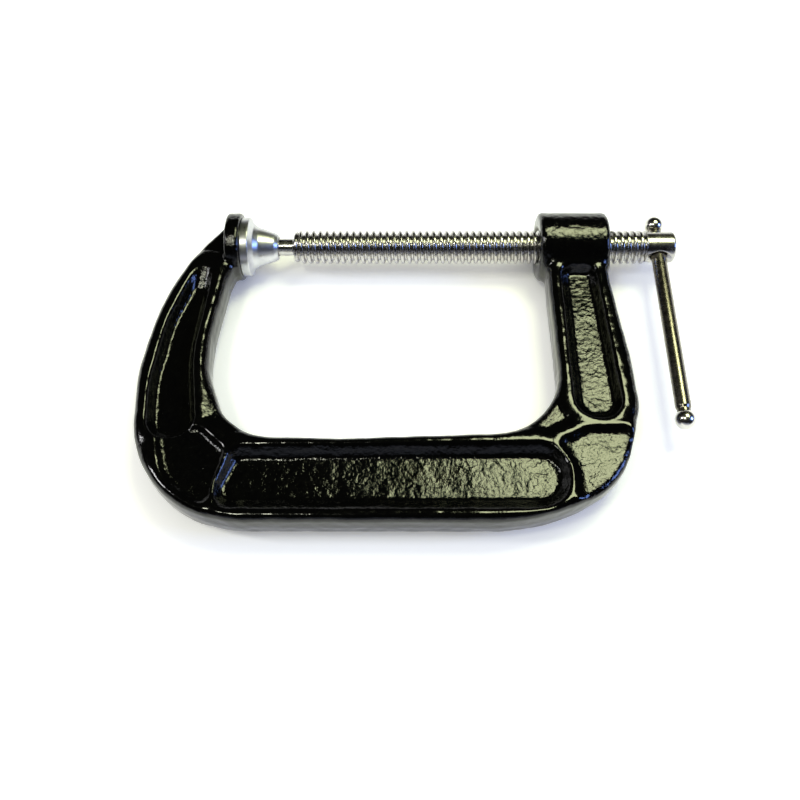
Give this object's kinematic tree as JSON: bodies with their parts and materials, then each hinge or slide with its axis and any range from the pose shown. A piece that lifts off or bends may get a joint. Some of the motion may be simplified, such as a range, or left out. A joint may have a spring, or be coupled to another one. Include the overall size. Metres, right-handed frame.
{
  "type": "c clamp",
  "caption": "Cast iron C clamp with a deep throat, a square-thread screw, a swivel pad and a sliding bar with ball ends, shown closed.",
  "frame": {"origin": "centre of the anvil's round face, on the screw's axis", "axes": "+X along the screw, from the anvil to the bar; -Y from the screw to the frame's spine; +Z square to the clamp's flat side, which faces up as the clamp lies on its side"},
  "size_m": [0.1963, 0.1255, 0.026],
  "materials": {
    "black_enamel": "gloss black enamel over a sand-cast surface",
    "plated_steel": "bright zinc plated, rolled thread",
    "pad_steel": "bright zinc plated, turned",
    "bar_steel": "polished bare steel",
    "ball_chrome": "bright"
  },
  "bodies": {
    "frame": {"frame": "black_enamel"},
    "swivel_pad": {"swivel_pad": "pad_steel"},
    "spindle": {"spindle": "plated_steel"},
    "tommy_bar": {"tommy_bar": "bar_steel", "bar_knob_far": "ball_chrome", "bar_knob_near": "ball_chrome"}
  },
  "joints": [
    {"name": "spindle_travel", "type": "slide", "parent": "frame", "child": "swivel_pad", "axis": [1, 0, 0], "range_m": [0, 0.1]},
    {"name": "spindle_turn", "type": "hinge", "parent": "swivel_pad", "child": "spindle", "pos_m": [0.0072, 0, 0], "axis": [1, 0, 0], "range_deg": [0, 14160]},
    {"name": "bar_slide", "type": "slide", "parent": "spindle", "child": "tommy_bar", "axis": [0, 1, 0], "range_m": [0, 0.064]}
  ],
  "couplings": [
    {"joint": "spindle_travel", "follows": "spindle_turn", "m_per_rad": 0.00040425}
  ]
}
